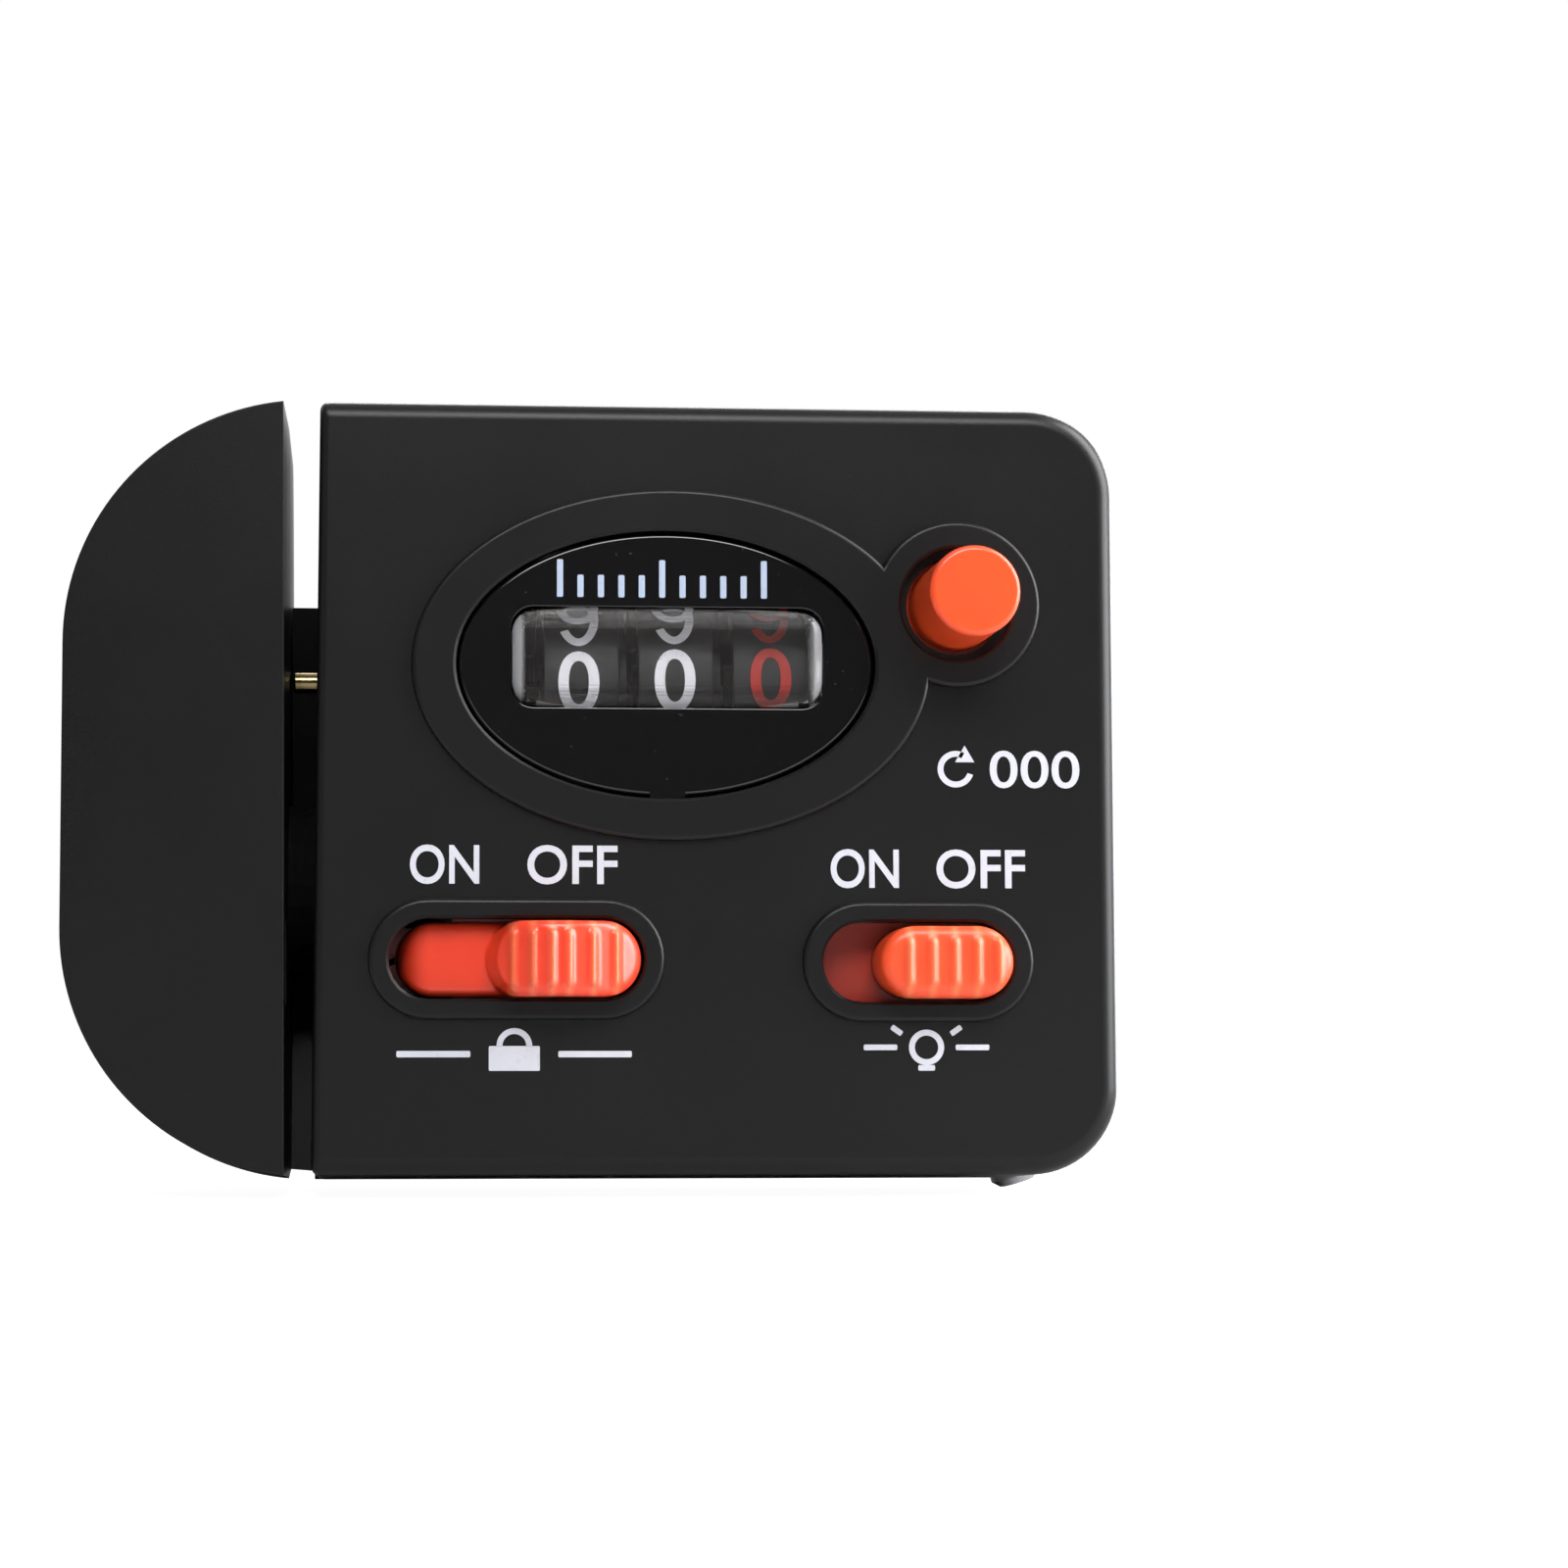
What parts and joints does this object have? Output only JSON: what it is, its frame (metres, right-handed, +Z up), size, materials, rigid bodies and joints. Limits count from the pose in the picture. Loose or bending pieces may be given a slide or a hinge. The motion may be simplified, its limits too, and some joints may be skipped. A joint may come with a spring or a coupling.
{
  "type": "fishing line counter",
  "caption": "Rod-mounted mechanical fishing line counter with a line slot, number drums behind an oval lens, a line lock, a reset button and a lamp switch.",
  "frame": {"origin": "on the axis of the rod, at the middle of the clamp's length", "axes": "+X to the right seen from the face, +Y from the face back through the rod, +Z up the case; the rod leans back 16 degrees from +Z towards +Y"},
  "size_m": [0.0767, 0.0644, 0.0574],
  "materials": {
    "case_plastic": "satin moulded, fine texture",
    "orange_plastic": "bright moulded",
    "lens_plastic": "polished, smoked",
    "clear_plastic": "clear moulded",
    "drum_plastic": "fine matt",
    "gear_plastic": "natural moulded",
    "rubber": "matt",
    "steel": "bright zinc",
    "brass": "turned",
    "nickel": "satin nickel",
    "board_green": "solder resist",
    "lamp_red": "clear tinted"
  },
  "bodies": {
    "case": {"front_cover": "case_plastic", "end_cover": "case_plastic", "rear_shell": "case_plastic", "window_lens": "lens_plastic", "light_guide": "clear_plastic", "drum_shaft": "steel", "pinion_shaft": "steel", "idler_shaft": "steel", "counter_frame": "case_plastic", "axle_bush_left": "brass", "axle_bush_right": "brass", "keeper_pin": "brass", "reset_spring": "steel", "lock_spring": "steel", "slide_switch": "steel", "circuit_board": "board_green", "lamp": "lamp_red", "coin_cell_1": "steel", "coin_cell_2": "steel", "cell_contact_1": "steel", "cell_contact_2": "steel", "cell_bridge": "steel", "battery_door": "case_plastic", "door_screw": "steel", "case_screw_1": "steel", "case_screw_2": "steel", "case_screw_3": "steel", "case_screw_4": "steel", "case_screw_5": "steel", "case_screw_6": "steel", "frame_screw_1": "steel", "frame_screw_2": "steel", "board_screw_1": "steel", "board_screw_2": "steel", "saddle_pad": "rubber", "clamp_stud": "nickel"},
    "line_wheel": {"line_wheel_tyre": "rubber", "line_wheel_hub": "gear_plastic", "wheel_axle": "steel", "wheel_pinion": "gear_plastic"},
    "idler": {"idler_gear": "gear_plastic"},
    "tenths": {"tenths_drum": "drum_plastic", "drum_gear": "gear_plastic"},
    "ones": {"ones_drum": "drum_plastic"},
    "tens": {"tens_drum": "drum_plastic"},
    "lower_transfer": {"transfer_pinion_2": "gear_plastic"},
    "upper_transfer": {"transfer_pinion_1": "gear_plastic"},
    "lock": {"lock_slider": "orange_plastic"},
    "light": {"light_slider": "orange_plastic", "switch_lever": "case_plastic"},
    "reset": {"reset_button": "orange_plastic", "reset_comb": "case_plastic"},
    "jaw": {"clamp_jaw": "case_plastic", "jaw_pad": "rubber", "clamp_washer": "steel"},
    "nut": {"clamp_nut": "nickel"}
  },
  "joints": [
    {"name": "wheel_spin", "type": "hinge", "parent": "case", "child": "line_wheel", "pos_m": [0, -0.0175, -0.0022], "axis": [-1, 0, 0], "continuous": true},
    {"name": "idler_spin", "type": "hinge", "parent": "case", "child": "idler", "pos_m": [0, -0.01932, 0.006], "axis": [-1, 0, 0], "continuous": true},
    {"name": "tenths_spin", "type": "hinge", "parent": "case", "child": "tenths", "pos_m": [0, -0.0252, 0.012], "axis": [-1, 0, 0], "continuous": true},
    {"name": "ones_spin", "type": "hinge", "parent": "case", "child": "ones", "pos_m": [0, -0.0252, 0.012], "axis": [-1, 0, 0], "continuous": true},
    {"name": "tens_spin", "type": "hinge", "parent": "case", "child": "tens", "pos_m": [0, -0.0252, 0.012], "axis": [-1, 0, 0], "continuous": true},
    {"name": "lower_transfer_spin", "type": "hinge", "parent": "case", "child": "lower_transfer", "pos_m": [0, -0.01827, 0.01893], "axis": [-1, 0, 0], "continuous": true},
    {"name": "upper_transfer_spin", "type": "hinge", "parent": "case", "child": "upper_transfer", "pos_m": [0, -0.01827, 0.01893], "axis": [-1, 0, 0], "continuous": true},
    {"name": "lock_slide", "type": "slide", "parent": "case", "child": "lock", "axis": [-1, 0, 0], "range_m": [0, 0.0065]},
    {"name": "light_slide", "type": "slide", "parent": "case", "child": "light", "axis": [-1, 0, 0], "range_m": [0, 0.0036]},
    {"name": "reset_press", "type": "slide", "parent": "case", "child": "reset", "axis": [0, 1, 0], "range_m": [0, 0.003], "stiffness_N_per_m": 400, "springref_m": -0.002, "deforming": ["reset_spring"]},
    {"name": "jaw_slide", "type": "slide", "parent": "case", "child": "jaw", "axis": [0, 0.9613, -0.2756], "range_m": [0, 0.006]},
    {"name": "nut_spin", "type": "hinge", "parent": "jaw", "child": "nut", "pos_m": [0.0118, -0.00055, -0.00192], "axis": [0, 0.9613, -0.2756], "range_deg": [0, 2700]}
  ],
  "couplings": [
    {"joint": "idler_spin", "follows": "wheel_spin", "ratio": -0.2},
    {"joint": "tenths_spin", "follows": "wheel_spin", "ratio": 0.04},
    {"joint": "ones_spin", "follows": "wheel_spin", "ratio": 0.004},
    {"joint": "tens_spin", "follows": "wheel_spin", "ratio": 0.0004},
    {"joint": "lower_transfer_spin", "follows": "wheel_spin", "ratio": -0.01},
    {"joint": "upper_transfer_spin", "follows": "wheel_spin", "ratio": -0.001},
    {"joint": "nut_spin", "follows": "jaw_slide", "rad_per_m": 7854}
  ]
}
